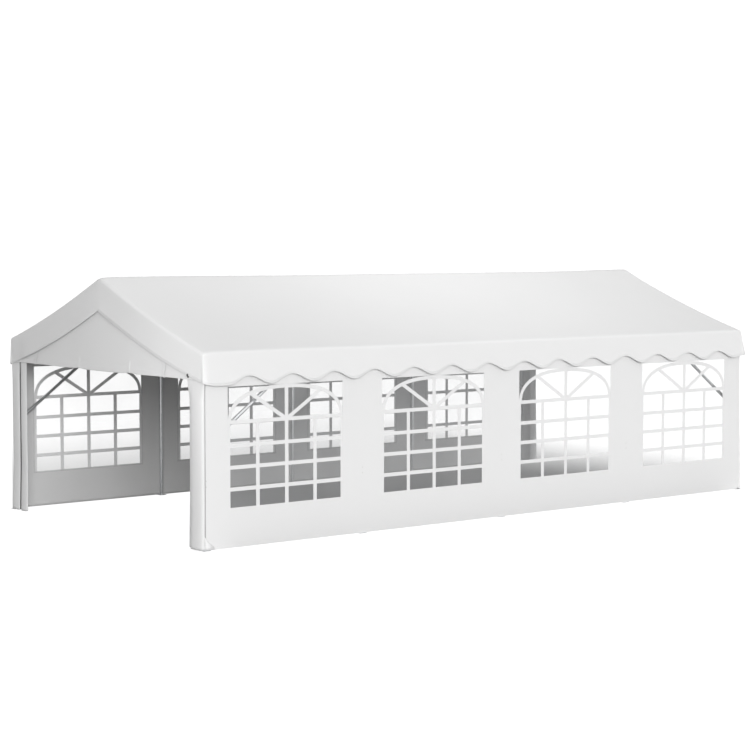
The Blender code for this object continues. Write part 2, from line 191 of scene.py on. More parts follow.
# Along the toggle, and its radius as a share of the largest
TOGGLE_PROFILE = ((-0.020, 0.3), (-0.018, 0.8), (-0.010, 1.0), (0.004, 1.0), (0.010, 0.6), (0.020, 0.55),
                  (0.022, 0.3))
RIDGES = (-0.45, 0.61)  # pulled folds over a panel's foot: a wide left flank and a steep right one
RIDGE_TOP = 1.88
RIDGE_FADE = 0.09
RIDGE_FLANKS = (0.024, 0.004)
RIDGE_DEPTH = 0.003
CRISP = 30.0  # edges of bands and panels past this angle stay sharp

# Corner curtains
CURTAIN_TOP = 1.80
CURTAIN_TUCK = 1.72  # above this height a curtain lies flat behind its gable panel
CURTAIN_FULL = 1.50  # below this height its folds have their full depth
CURTAIN_STEP = 0.03
CURTAIN_LOWER = 1.2  # below this height its folds deepen towards the foot
LEG_FOLD_STEPS = 8
OUTER_FOLD_STEPS = 14
INNER_FOLD_STEPS = 12
EDGE_RETURN = 0.10
FOOT_FLAP = 0.10  # the front right curtain turns onto the wall at its foot
GROOVE_WIDTH = 0.034  # opening between two folds, which runs in behind the outer one
GROOVE_SLANT = (0.88, 0.47)
SEAM_DEPTH = 0.009  # notch between the front right curtain and its wall
SEAM_WIDTH = 0.010
TIGHT_TURN = ((-0.001, -0.010), (-0.0035, -0.003), (-0.009, 0.002))  # over the leg, from the corner
WALL_SHORT = 0.015  # the right wall ends this far behind its solid's front end
CURTAIN_FRONT = (0.0206, 0.0243)  # in front of the leg's middle, flat and folded
CURTAIN_WANDER = 0.004
CURTAIN_SWAY = 0.0025
SWAY_FADE = (0.2, 0.4)  # shares of the cloth's width where the sway sets in
CURTAIN_FOOT_WAVE = 0.005
FOOT_WAVE_TOP = 0.25
GROOVE_SHADE_COLUMNS = 3  # of faces in the groove that carry a dark strip of painted shade
CURTAIN_LAP = 0.022  # length of cloth on the side wall, before the rounding over the leg
CURTAIN_LAP_INSET = 0.0016
TIGHT_ROUNDING = 0.008  # of the cloth over the leg where it lies flat
FLAP_HEIGHTS = (0.01, 0.12)  # the flap at the foot ends between these
NOTCH_HEIGHTS = (0.10, 0.16)  # and the notch beside the wall starts
FOLD_SHARES = (0.9, 1.1)  # of a fold's depth, above and at the foot
CURTAIN_INSET = 0.0002  # a curtain's side lies this far inside the walls' outer face
EDGE_DEPTH = (0.004, 0.018)  # how far a free edge turns back, flat and folded
# Shares of a foot's spread: sideways over the leg, forward at the crease, in the outer fold and at the
# cloth's two edges
LEG_SPREAD = 0.6
CREASE_SPREAD = 0.8
FOLD_SPREAD = 0.3
EDGE_SPREAD = 0.5

# Each curtain's side and end, places of its free edge and of the crease between its two folds, how far
# the folds stand out, how far the free edge lies back, the rounding over the leg, the depth of the
# groove at the crease, and how far and up to what height its foot spreads out
Curtain = namedtuple("Curtain", "name side end free_edge crease outer_fold inner_fold set_back rounding "
                     "groove spread spread_top")
CURTAINS = (
    Curtain("right_front", 1.0, -1.0, 1.722, 1.790, 0.026, 0.003, 0.028, 0.0, 0.0, 0.010, 0.5),
    Curtain("left_front", -1.0, -1.0, 1.665, 1.835, 0.008, 0.012, 0.0, 0.028, 0.06, 0.018, 0.6),
    Curtain("right_rear", 1.0, 1.0, 1.790, 1.890, 0.020, 0.020, 0.0, 0.028, 0.0, 0.026, 1.6),
    Curtain("left_rear", -1.0, 1.0, 1.725, 1.850, 0.020, 0.020, 0.0, 0.028, 0.0, 0.020, 1.2),
)

# Bolts
COUPLING_HEIGHT = 0.68
LEG_BOLTS = (COUPLING_HEIGHT - 0.03, COUPLING_HEIGHT + 0.03, 1.895)
LEG_BOLT_REACH = 0.0205
BRACE_BOLT_REACH = 0.0195
BRACE_REACH = 1.28  # from the corner leg to a brace's upper bolt
BRACE_BOLTS = (0.028, 0.026)  # inside the brace's lower and upper end, in height
LEG_BOLT_RADIUS = 0.0035
BRACE_BOLT_RADIUS = 0.004
# A bolt's domed head in shank radii: distance past the tube's side, and radius
BOLT_HEAD = ((0.0, 1.0), (0.0, 1.9), (0.35, 2.0), (1.1, 1.5), (1.4, 0.5))
NUT_LENGTH = 1.5  # in shank radii, as are the next two
NUT_RADIUS = 1.8
SHANK_END = 2.2

# Camera of the photograph, fitted to the frame
CAMERA_PLACE = (18.5646, -14.9142, 3.1508)
CAMERA_TILT = math.radians(90.0 - 3.959)
CAMERA_TURN = math.radians(51.6511)
CAMERA_LENS = 94.58


# Small helpers

def steps(start, end, count):
    """count + 1 evenly spaced values from start to end."""
    return [start + (end - start) * i / count for i in range(count + 1)]


def lines_through(stops, pitch):
    """Sorted values that hit every stop, with about pitch between neighbours."""
    values = []
    for start, end in zip(stops, stops[1:]):
        count = max(1, round((end - start) / pitch))
        values += steps(start, end, count)[:-1]
    return values + [stops[-1]]


def smooth(low, high, value):
    """0 below low, 1 above high, and a smooth rise between them."""
    share = min(max((value - low) / (high - low), 0.0), 1.0)
    return share * share * (3.0 - 2.0 * share)


def fade(low, high, value):
    """1 below low, 0 above high, and a smooth fall between them."""
    return 1.0 - smooth(low, high, value)


def mix(first, second, share):
    return first + (second - first) * share


def flat_length(points):
    return sum(math.dist(a, b) for a, b in zip(points, points[1:]))


def new_object(name, data):
    obj = bpy.data.objects.new(name, data)
    bpy.context.scene.collection.objects.link(obj)
    return obj


def add_piece(name, slot, points, faces, material, inside_painted_shade=None, thickness=None, sharp=None):
    """A named smooth mesh that rides on the tent's one body. Its slot argument is not used.

    A thickness turns an open sheet into a thin solid, inwards from its outer face, with a darker
    copy of the cloth on its inner face: painted shade. Edges past the sharp angle stay crisp.
    """
    mesh = bpy.data.meshes.new(name)
    mesh.from_pydata([tuple(p) for p in points], [], faces)
    mesh.materials.append(material)
    if inside_painted_shade:
        mesh.materials.append(inside_painted_shade)
    mesh.shade_smooth()
    if sharp:
        mesh.set_sharp_from_angle(angle=math.radians(sharp))
    mesh.update()
    obj = new_object(name, mesh)
    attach(obj, "root")
    if thickness:
        shell = obj.modifiers.new("thickness", "SOLIDIFY")
        shell.thickness = thickness
        shell.offset = -1.0
        shell.use_even_offset = True
        shell.material_offset = 1 if inside_painted_shade else 0
    return obj


def grid_faces(columns, rows, keep=lambda i, j: True):
    """Quads of a grid whose points run row by row within each column."""
    faces = []
    for i in range(columns - 1):
        for j in range(rows - 1):
            if keep(i, j):
                first = i * rows + j
                faces.append((first, first + rows, first + rows + 1, first + 1))
    return faces


def strip_faces(near, far, length):
    """Quads between two neighbouring strips of points, each given by its first point."""
    return [(near + step, near + step + 1, far + step + 1, far + step) for step in range(length - 1)]


def tube_faces(rings, sides):
    """Quads round a row of rings with the same number of points."""
    faces = []
    for first in range(0, (rings - 1) * sides, sides):
        for near in range(sides):
            far = (near + 1) % sides
            faces.append((first + near, first + far, first + sides + far, first + sides + near))
    return faces


def turned(faces, turn):
    """The faces, looking the other way if turn is true."""
    return [face[::-1] for face in faces] if turn else faces


def drop_loose(points, faces):
    """Leaves out the points that no face uses."""
    used = sorted({corner for face in faces for corner in face})
    renumbered = {old: new for new, old in enumerate(used)}
    return [points[old] for old in used], [tuple(renumbered[c] for c in face) for face in faces]


def wave(*place):
    """Smooth noise from -1 to 1 at a place."""
    return noise.noise(Vector(place))


# Materials

def feed(tree, socket, value):
    """Sets an input to a value, or joins it to another node's output."""
    if isinstance(value, bpy.types.NodeSocket):
        tree.links.new(value, socket)
    else:
        socket.default_value = value


def add_node(tree, kind, **inputs):
    """A shader node with its inputs fed. A name's _ stands for a space."""
    node = tree.nodes.new("ShaderNode" + kind)
    for name, value in inputs.items():
        feed(tree, node.inputs[name.replace("_", " ")], value)
    return node


def object_place(tree):
    return add_node(tree, "TexCoord").outputs["Object"]


def new_material(name, colour, roughness, metallic=0.0):
    """A material with its node tree, its shader and the socket that gives a surface's place."""
    material = bpy.data.materials.new(name)
    material.use_nodes = True
    shader = material.node_tree.nodes["Principled BSDF"]
    shader.inputs["Base Color"].default_value = (*colour, 1.0)
    shader.inputs["Roughness"].default_value = roughness
    shader.inputs["Metallic"].default_value = metallic
    return material, material.node_tree, shader, object_place(material.node_tree)


def texture(tree, kind, place, output="Fac", **values):
    """The output of a procedural texture."""
    return add_node(tree, "Tex" + kind, Vector=place, **values).outputs[output]


def spread(tree, source, low, high):
    """Maps a 0 to 1 value onto low to high."""
    return add_node(tree, "MapRange", Value=source, To_Min=low, To_Max=high).outputs["Result"]


def tinted(tree, share, dark, light):
    node = add_node(tree, "Mix")
    node.data_type = "RGBA"
    for name, value in (("A", (*dark, 1.0)), ("B", (*light, 1.0)), ("Factor", share)):
        feed(tree, node.inputs[name], value)
    return node.outputs["Result"]


def add_bump(tree, shader, heights):
    """Chains bumps, each a height with its depth in metres and its strength."""
    normal = None
    for height, depth, strength in heights:
        bump = add_node(tree, "Bump", Height=height, Distance=depth, Strength=strength)
        if normal:
            tree.links.new(normal, bump.inputs["Normal"])
        normal = bump.outputs["Normal"]
    tree.links.new(normal, shader.inputs["Normal"])


def vary(tree, shader, name, source):
    """Lets a texture drive one of the shader's inputs."""
    tree.links.new(source, shader.inputs[name])


def fabric_material(name, light, dark, roughness):
    """Coated woven polyethylene: a fine crossed weave, soft crinkles and faint patches of tone."""
    material, tree, shader, place = new_material(name, light, roughness)
    patches = texture(tree, "Noise", place, Scale=1.3, Detail=4.0, Roughness=0.55)
    crinkle = texture(tree, "Noise", place, Scale=14.0, Detail=5.0, Roughness=0.6)
    joined = add_node(tree, "CombineXYZ")
    for direction in ("X", "Y", "Z"):
        thread = texture(tree, "Wave", place, Scale=21.0, Distortion=0.4)
        thread.node.bands_direction = direction
        tree.links.new(thread, joined.inputs[direction])
    weave = add_node(tree, "VectorMath")
    weave.operation = "LENGTH"
    tree.links.new(joined.outputs["Vector"], weave.inputs[0])
    vary(tree, shader, "Base Color", tinted(tree, patches, dark, light))
    vary(tree, shader, "Roughness", spread(tree, crinkle, roughness - 0.08, roughness + 0.08))
    add_bump(tree, shader, [(crinkle, 0.004, 0.12), (weave.outputs["Value"], 0.0003, 0.25)])
    shader.inputs["Sheen Weight"].default_value = 0.08
    shader.inputs["Specular IOR Level"].default_value = 0.15
    return material


def film_material():
    """Clear film with a slight haze and faint ripples."""
    material, tree, shader, place = new_material("clear_film", (0.86, 0.87, 0.88), 0.16)
    haze = texture(tree, "Noise", place, Scale=3.0, Detail=3.0)
    ripple = texture(tree, "Noise", place, Scale=9.0, Detail=2.0)
    vary(tree, shader, "Alpha", spread(tree, haze, 0.06, 0.12))
    vary(tree, shader, "Roughness", spread(tree, ripple, 0.10, 0.22))
    add_bump(tree, shader, [(ripple, 0.004, 0.3)])
    return material


def steel_material():
    """Galvanised tube: bright zinc with a faint spangle and dull streaks."""
    grey = (0.60, 0.61, 0.62)
    material, tree, shader, place = new_material("galvanised_steel", grey, 0.32, metallic=1.0)
    spangle = texture(tree, "Voronoi", place, output="Distance", Scale=90.0)
    streaks = texture(tree, "Noise", place, Scale=12.0, Detail=6.0, Roughness=0.7)
    vary(tree, shader, "Base Color", tinted(tree, streaks, (0.46, 0.47, 0.48), (0.74, 0.75, 0.76)))
    vary(tree, shader, "Roughness", spread(tree, streaks, 0.22, 0.42))
    add_bump(tree, shader, [(spangle, 0.0004, 0.15)])
    return material


def plain_material(name, colour, roughness, metallic=0.0):
    """A small moulded or machined part with a lightly uneven surface."""
    material, tree, shader, place = new_material(name, colour, roughness, metallic)
    grain = texture(tree, "Noise", place, Scale=160.0, Detail=3.0)
    darker = tuple(0.8 * part for part in colour)
    vary(tree, shader, "Base Color", tinted(tree, grain, darker, colour))
    vary(tree, shader, "Roughness", spread(tree, grain, roughness - 0.06, roughness + 0.06))
    add_bump(tree, shader, [(grain, 0.0003, 0.2)])
    return material


# Roof cover with its valances

def roof_height(x):
    """Height of the roof profile at a distance x from the ridge line."""
    reach = x / HALF_SPAN
    straight = RIDGE_HEIGHT - (RIDGE_HEIGHT - EAVE_HEIGHT) * reach
    return straight - 4.0 * ROOF_SAG * reach * (1.0 - reach)


def cover_height(x, y):
    """Outside of the cover: soft over the ridge, a little slack between the portals."""
    soft = math.hypot(x, RIDGE_SOFTNESS) - RIDGE_SOFTNESS
    reach = soft / HALF_SPAN
    between = math.sin(math.pi * (y + HALF_LENGTH) / BAY) ** 2
    slack = COVER_SLACK * between * 4.0 * reach * (1.0 - reach)
    bend = min(max((-y - FRONT_BEND) / (HALF_LENGTH - FRONT_BEND), 0.0), 1.0)
    rise = FRONT_LIFT * (1.0 - bend * bend) * fade(*FRONT_LIFT_FADE, y)
    peak = 1.0 - REAR_PEAK * smooth(0.0, REAR_PEAK_WIDTH, abs(x))
    rise += REAR_LIFT * smooth(REAR_LIFT_START, HALF_LENGTH, y) * peak
    ripple = COVER_RIPPLE * wave(1.6 * x, 1.1 * y, 0.0) * 4.0 * reach * (1.0 - reach)
    return roof_height(soft) + COVER_LIFT + rise - slack + ripple


def side_edge(y):
    """Lower edge of the right side valance. The left one is a half-turn."""
    count = (y - FIRST_LOW) / SCALLOP_PITCH
    if count <= 0.0 or count >= SCALLOPS:
        past = max(abs(y) - CORNER_FROM, 0.0) / (CORE_Y - CORNER_FROM)
        return SCALLOP_LOW + SIDE_CORNER_RISE * past * past
    middle = (SCALLOP_LOW + SCALLOP_HIGH) / 2.0
    rise = (SCALLOP_HIGH - SCALLOP_LOW) / 2.0
    return middle - rise * math.cos(2.0 * math.pi * count)


def gable_edge(x):
    """Lower edge of a gable valance, blended into the side valance near the corner."""
    reach = abs(x) / HALF_SPAN
    edge = roof_height(abs(x)) - GABLE_DROP + GABLE_TAPER * reach * reach
    return mix(edge, SCALLOP_LOW + GABLE_CORNER_RISE, smooth(GABLE_FADE, CORE_X, abs(x)))


def edge_lines():
    """Places along a side and along a gable where a strip of the cover starts."""
    last_low = FIRST_LOW + SCALLOPS * SCALLOP_PITCH
    side_lines = lines_through([-CORE_Y, FIRST_LOW, last_low, CORE_Y], SCALLOP_PITCH / SCALLOP_STEPS)
    inner = CORE_X - GABLE_END
    end_lines = steps(inner, CORE_X, GABLE_END_COLUMNS)[1:]
    middle_lines = lines_through([-inner, 0.0, inner], COVER_STEP)
    return side_lines, [-x for x in reversed(end_lines)] + middle_lines + end_lines


def drop_profile(lean, radius, flare, start_z, low):
    """Distance out, height and share of the drop along one strip, over the turn and down to low."""
    last = math.pi / 2.0 - flare
    profile = []
    for angle in steps(lean, last, EDGE_STEPS)[1:]:
        out = radius * (math.sin(angle) - math.sin(lean))
        profile.append((out, start_z - radius * (math.cos(lean) - math.cos(angle)), 0.0))
    out, z, _ = profile[-1]
    for share in steps(0.0, 1.0, DROP_STEPS)[1:]:
        fall = (z - low) * share
        profile.append((out + fall / math.tan(last), z - fall, share))
    return profile


def strip_of_cover(plan, direction, low, cross):
    """Points of one strip. cross is 0 on a side, 1 on a gable and between them round a corner."""
    x, y = plan
    along_x, along_y = abs(direction[0]), abs(direction[1])
    end_slope = 2.0 * FRONT_LIFT / (HALF_LENGTH - FRONT_BEND) if y < 0.0 else 0.0
    lean = math.atan(math.tan(roof_slope(abs(x))) * along_x + end_slope * along_y)
    radius = mix(EAVE_RADIUS, GABLE_RADIUS, cross)
    flare = mix(SIDE_FLARE, REAR_FLARE if y > 0.0 else FRONT_FLARE, cross)
    from_corner = (CORE_X - abs(x)) * along_y - CORNER_TURN * (1.0 - cross)
    seam = SEAM_DIP * math.exp(-((from_corner - SEAM_PLACE) / SEAM_SPREAD) ** 2)
    from_right = -x if y < 0.0 else x
    near_corner = smooth(CORE_Y - CORNER_EASE_REACH[1], CORE_Y, abs(y))
    near_corner *= smooth(CORE_X - CORNER_EASE_REACH[0], CORE_X, abs(x))
    left_half = smooth(-STANDOFF_BLEND, STANDOFF_BLEND, from_right)
    standoff = mix(RIGHT_STANDOFF, LEFT_STANDOFF, left_half) * fade(*STANDOFF_FADE, abs(x))
    standoff *= along_y
    fullness = max(along_x, along_y) ** -CORNER_FULLNESS
    points = []
    for out, z, share in drop_profile(lean, radius, flare, cover_height(x, y), low):
        sway = FLUTTER * share * share * wave(2.2 * x, 2.2 * y, 3.0)
        sway += FINE_FLUTTER * share * share * wave(7.0 * x, 7.0 * y, 8.0)
        sway -= seam * smooth(*SEAM_FADES[:2], share) * fade(*SEAM_FADES[2:], share)
        sway += standoff * share
        sway -= CORNER_EASE * near_corner * math.sqrt(share)
        reach = out + sway
        far = reach * fullness
        points.append((*rounded_off(x + direction[0] * far, y + direction[1] * far, reach - radius), z))
    return points


def rounded_off(x, y, beyond):
    """A plan point, pulled in to the corner's rounding and as much beyond it as given."""
    middle_x = CORE_X + EAVE_RADIUS - CORNER_RADIUS
    middle_y = CORE_Y + GABLE_RADIUS - CORNER_RADIUS
    past_x, past_y = abs(x) - middle_x, abs(y) - middle_y
    distance = math.hypot(past_x, past_y)
    if past_x < 0.0 or past_y < 0.0 or distance <= CORNER_RADIUS + beyond:
        return x, y
    share = (CORNER_RADIUS + beyond) / distance
    return (math.copysign(middle_x + share * past_x, x), math.copysign(middle_y + share * past_y, y))


def roof_slope(x):
    """Angle of the roof below the horizontal at a distance x from the ridge line."""
    fall = (RIDGE_HEIGHT - EAVE_HEIGHT) / HALF_SPAN
    bow = 4.0 * ROOF_SAG * (1.0 - 2.0 * x / HALF_SPAN) / HALF_SPAN
    return math.atan(fall + bow)


def cover_strips(side_lines, gable_lines):
    """All strips round the cover, each as its root (column, row) in the core grid and its points."""
    last_i, last_j = len(gable_lines) - 1, len(side_lines) - 1
    strips = []

    def corner(root, start_angle, side_first):
        x, y = gable_lines[root[0]], side_lines[root[1]]
        for count in range(1, CORNER_COLUMNS):
            share = count / CORNER_COLUMNS
            angle = start_angle + share * math.pi / 2.0
            cross = share if side_first else 1.0 - share
            low = SCALLOP_LOW + mix(SIDE_CORNER_RISE, GABLE_CORNER_RISE, cross)
            direction = (math.cos(angle), math.sin(angle))
            strips.append((root, strip_of_cover((x, y), direction, low, cross)))

    # The right side and the rear gable, then the left side and the front gable
    for sign, near_i, far_i, end_j, turn in ((1, last_i, 0, last_j, 0.0), (-1, 0, last_i, 0, math.pi)):
        for j, y in list(enumerate(side_lines))[::sign]:
            strip = strip_of_cover((sign * CORE_X, y), (sign, 0.0), side_edge(sign * y), 0.0)
            strips.append(((near_i, j), strip))
        corner((near_i, end_j), turn, True)
        for i, x in list(enumerate(gable_lines))[::-sign]:
            strip = strip_of_cover((x, sign * CORE_Y), (0.0, sign), gable_edge(x), 1.0)
            strips.append(((i, end_j), strip))
        corner((far_i, end_j), turn + math.pi / 2.0, False)
    return strips


def build_cover(cloth, inside_painted_shade):
    """One sheet over the whole roof and down to the valances' edges, with a bound edge."""
    side_lines, gable_lines = edge_lines()
    rows = len(side_lines)
    points = [(x, y, cover_height(x, y)) for x in gable_lines for y in side_lines]
    faces = grid_faces(len(gable_lines), rows)
    strips = cover_strips(side_lines, gable_lines)
    length = EDGE_STEPS + DROP_STEPS
    base = len(points)
    for _, strip in strips:
        points += strip
    for number, (root, _) in enumerate(strips):
        following = (number + 1) % len(strips)
        near, far = base + number * length, base + following * length
        root_near = root[0] * rows + root[1]
        root_far = strips[following][0][0] * rows + strips[following][0][1]
        if root_near == root_far:
            faces.append((root_near, near, far))
        else:
            faces.append((root_near, near, far, root_far))
        faces += strip_faces(near, far, length)
    cover = add_piece("roof_cover_cloth", "roof_fabric", points, faces, cloth, inside_painted_shade, CLOTH)
    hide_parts("roof_cover", "side_valance_right", "side_valance_left",
                "gable_valance_front", "gable_valance_rear")
    binding = build_binding([strip for _, strip in strips], cloth)


def build_binding(strips, cloth):
    """A narrow band of cloth folded round the valances' lower edge."""
    points = []
    for strip in strips:
        low, above = Vector(strip[-1]), Vector(strip[-2])
        up = (above - low).normalized()
        out = Vector((strip[-1][0] - strip[0][0], strip[-1][1] - strip[0][1], 0.0)).normalized()
        outer, inner = out * BINDING_THICKNESS, -out * (CLOTH + BINDING_THICKNESS)
        points += [low + up * BINDING_WIDTH + outer, low + outer, low - up * BINDING_THICKNESS,
                   low + inner, low + up * BINDING_WIDTH + inner]
    faces = []
    for near in range(0, len(points), BINDING_POINTS):
        faces += strip_faces(near, (near + BINDING_POINTS) % len(points), BINDING_POINTS)
    return add_piece("roof_cover_binding", "roof_fabric", points, faces, cloth)


# Side walls

def wall_swell(side, y, z):
    """How far a side wall stands out from its legs."""
    between = math.sin(math.pi * (y + HALF_LENGTH) / BAY) ** 2
    hanging = math.sin(math.pi * smooth(CLOTH_FOOT - 0.6, WALL_TOP, z))
    folds = 0.5 + 0.5 * wave(3.1 * y, 1.1 * z, 5.0 * side)
    fine = 0.5 + 0.5 * wave(9.0 * y, 2.6 * z, 9.0 * side)
    shapes = zip(WALL_SWELL_SHARES, (hanging, folds, fine))
    return WALL_SWELL * between * sum(share * shape for share, shape in shapes)


def wall_point(side, y, z, out=0.0):
    return (side * (WALL_X + wall_swell(side, y, z) + out), y, z)


def wall_ends(side):
    """Where a wall starts and ends. Only the front right corner has no rounding."""
    return (WALL_SHORT if side > 0.0 else WALL_CUT) - WALL_END, WALL_END - WALL_CUT


def build_wall(side, name, cloth, inside_painted_shade):
    """A wall cloth with four window openings, its outer face towards the side."""
    half = WINDOW_WIDTH / 2.0
    front_end, rear_end = wall_ends(side)
    stops = [front_end, front_end + EDGE_STRIP]
    for middle in WINDOW_MIDDLES:
        stops += [middle - half - EDGE_STRIP, middle - half, middle + half, middle + half + EDGE_STRIP]
    columns = lines_through(stops + [rear_end - EDGE_STRIP, rear_end], WALL_STEP)
    rows = lines_through([CLOTH_FOOT, CLOTH_FOOT + HEM_WIDTH, WINDOW_SILL - EDGE_STRIP, WINDOW_SILL,
                          WINDOW_HEAD, WINDOW_HEAD + EDGE_STRIP, WALL_TOP], WALL_STEP)

    def is_cloth(i, j):
        y = (columns[i] + columns[i + 1]) / 2.0
        z = (rows[j] + rows[j + 1]) / 2.0
        in_column = any(abs(y - middle) < half for middle in WINDOW_MIDDLES)
        return not (in_column and WINDOW_SILL < z < WINDOW_HEAD)

    points = [wall_point(side, y, z) for y in columns for z in rows]
    faces = grid_faces(len(columns), len(rows), is_cloth)
    points, faces = drop_loose(points, turned(faces, side < 0.0))
    wall = add_piece(f"wall_cloth_{name}", "wall_fabric", points, faces, cloth, inside_painted_shade, CLOTH)
    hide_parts(f"side_wall_{name}")
    return wall


def wall_ribbon(side, line, width, out, thickness):
    """Points and faces of a flat band that follows a line of (y, z) places on a wall."""
    points = []
    for number, (y, z) in enumerate(line):
        before = line[max(number - 1, 0)]
        after = line[min(number + 1, len(line) - 1)]
        along = Vector((after[0] - before[0], after[1] - before[1])).normalized()
        across = Vector((-along.y, along.x)) * width / 2.0
        for sign, level in ((-1.0, 0.0), (1.0, 0.0), (1.0, -thickness), (-1.0, -thickness)):
            at_y, at_z = y + sign * across.x, z + sign * across.y
            points.append(wall_point(side, at_y, at_z, out + level))
    last = 4 * (len(line) - 1)
    faces = tube_faces(len(line), 4) + [(3, 2, 1, 0), (last, last + 1, last + 2, last + 3)]
    return points, turned(faces, side < 0.0)


def join_parts(parts):
    """One list of points and faces from several."""
    points, faces = [], []
    for part_points, part_faces in parts:
        base = len(points)
        points += part_points
        faces += [tuple(base + corner for corner in face) for face in part_faces]
    return points, faces


def straight_line(start, end):
    count = max(1, round(math.dist(start, end) / BAR_STEP))
    return list(zip(steps(start[0], end[0], count), steps(start[1], end[1], count)))


def arch_power(value):
    """Cosine or sine of a rounder arch than an ellipse."""
    return math.copysign(abs(value) ** (2.0 / ARCH_FULLNESS), value)


def window_bars(side, middle):
    """Welded bars of one window: a border, uprights, four crossbars and an arch with its spokes."""
    edge_width = (WINDOW_WIDTH - PANE_SPAN) / 2.0
    edge_middle = (WINDOW_WIDTH + PANE_SPAN) / 4.0
    half = WINDOW_WIDTH / 2.0 - BAR_WIDTH / 2.0
    arch_rise = WINDOW_HEAD - BAR_WIDTH / 2.0 - SPRING_HEIGHT
    bars = []

    def band(line, layer, width=BAR_WIDTH):
        out = -FILM_INSET + BAR_THICKNESS + layer * BAR_LIFT
        bars.append(wall_ribbon(side, line, width, out, BAR_THICKNESS))

    for z in BAR_HEIGHTS:
        band(straight_line((middle - edge_middle, z), (middle + edge_middle, z)), 1)
    for sign in (-1.0, 1.0):
        edge = middle + sign * edge_middle
        band(straight_line((edge, WINDOW_SILL), (edge, SPRING_HEIGHT)), 2, edge_width)
        quarter = middle + sign * WINDOW_WIDTH / 4.0
        band(straight_line((quarter, WINDOW_SILL), (quarter, SPRING_HEIGHT)), 3, UPRIGHT_WIDTH)
        along = (math.cos(SPOKE_ANGLE), math.sin(SPOKE_ANGLE))
        reach = (along[0] / half) ** ARCH_FULLNESS + (along[1] / arch_rise) ** ARCH_FULLNESS
        reach = reach ** (-1.0 / ARCH_FULLNESS)
        tip = (middle + sign * reach * along[0], SPRING_HEIGHT + reach * along[1])
        band(straight_line((middle, SPRING_HEIGHT), tip), 3)
    crest = (middle, WINDOW_HEAD - BAR_WIDTH / 2.0)
    band(straight_line((middle, WINDOW_SILL), crest), 4, UPRIGHT_WIDTH)
    arch = [(middle - half * arch_power(math.cos(angle)),
             SPRING_HEIGHT + arch_rise * arch_power(math.sin(angle)))
            for angle in steps(0.0, math.pi, ARCH_STEPS)]
    band(arch, 5)
    return join_parts(bars)


def build_film(side, middle, name, film):
    """Clear film welded behind an opening, with the wall's own ripples."""
    half = WINDOW_WIDTH / 2.0 + FILM_OVERLAP
    columns = lines_through([middle - half, middle + half], WALL_STEP)
    rows = lines_through([WINDOW_SILL - FILM_OVERLAP, WINDOW_HEAD + FILM_OVERLAP], WALL_STEP)
    points = [wall_point(side, y, z, -FILM_INSET) for y in columns for z in rows]
    faces = turned(grid_faces(len(columns), len(rows)), side < 0.0)
    sheet = add_piece(f"film_{name}", "window_film", points, faces, film, thickness=FILM)
    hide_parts(f"window_{name}")
    return sheet


def build_side(side, name, cloth, inside_painted_shade, film):
    """One side wall with its films, bars and hem."""
    wall = build_wall(side, name, cloth, inside_painted_shade)
    hem_height, ends = CLOTH_FOOT + HEM_WIDTH / 2.0, wall_ends(side)
    hem_line = straight_line((ends[0], hem_height), (ends[1], hem_height))
    hem_band = wall_ribbon(side, hem_line, HEM_WIDTH, HEM_LIFT, HEM_THICKNESS)
    hem = add_piece(f"wall_hem_{name}", "wall_fabric", *hem_band, cloth, sharp=CRISP)
    films, bars = [], []
    for number, middle in enumerate(WINDOW_MIDDLES):
        window = f"{name}_{number + 1}"
        films.append(build_film(side, middle, window, film))
        bands = window_bars(side, middle)
        bars.append(add_piece(f"window_bars_{window}", "wall_fabric", *bands, cloth, sharp=CRISP))


# Gable panels

def panel_swell(end, x, z):
    """How far a gable panel stands out: a hem band, ridges over the foot and soft ripples."""
    ridges = 0.0
    for place in RIDGES:
        off = -end * x - place
        flank = RIDGE_FLANKS[0] if off < 0.0 else RIDGE_FLANKS[1]
        ridges += max(1.0 - abs(off) / flank, 0.0)
    ridges *= fade(RIDGE_TOP - RIDGE_FADE, RIDGE_TOP, z)
    hem_top = PANEL_FOOT + PANEL_HEM
    hem = fade(hem_top - PANEL_HEM_EDGE, hem_top, z)
    ripple = 0.5 + 0.5 * wave(2.3 * x, 3.0 * z, 4.0 * end)
    return RIDGE_DEPTH * ridges + PANEL_HEM_THICKNESS * hem + PANEL_RIPPLE * ripple


def panel_foot(end, x):
    """The hem hangs a little in the middle and is pulled up at the ridges."""
    lifted = sum(math.exp(-((-end * x - place) / PANEL_PULL_REACH) ** 2) for place in RIDGES)
    return PANEL_FOOT - PANEL_DROP + PANEL_PULL * lifted - PANEL_HANG * math.cos(2.0 * x)


def build_panel(end, name, cloth, inside_painted_shade):
    """The cloth over a doorway, behind its valance, with its straps."""
    reach = HALF_SPAN + PANEL_OVERHANG
    stops = [place + shift for place in RIDGES for shift in (-RIDGE_FLANKS[0], 0.0, RIDGE_FLANKS[1])]
    columns = lines_through([-reach, *stops, reach], PANEL_STEP)
    if end > 0.0:
        columns = [-x for x in reversed(columns)]
    levels = steps(0.0, 1.0, PANEL_ROWS)
    points = []
    for x in columns:
        foot = panel_foot(end, x)
        top = roof_height(min(abs(x), HALF_SPAN)) - PANEL_TOP_GAP
        for level in levels:
            z = mix(foot, top, level ** PANEL_CROWDING)
            points.append((x, end * (PANEL_Y - PANEL_SET_BACK + panel_swell(end, x, z)), z))
    faces = turned(grid_faces(len(columns), len(levels)), end > 0.0)
    panel = add_piece(f"gable_cloth_{name}", "wall_fabric", points, faces, cloth, inside_painted_shade, CLOTH, CRISP)
    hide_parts(f"gable_panel_{name}")
    straps = build_straps(end, name, cloth)


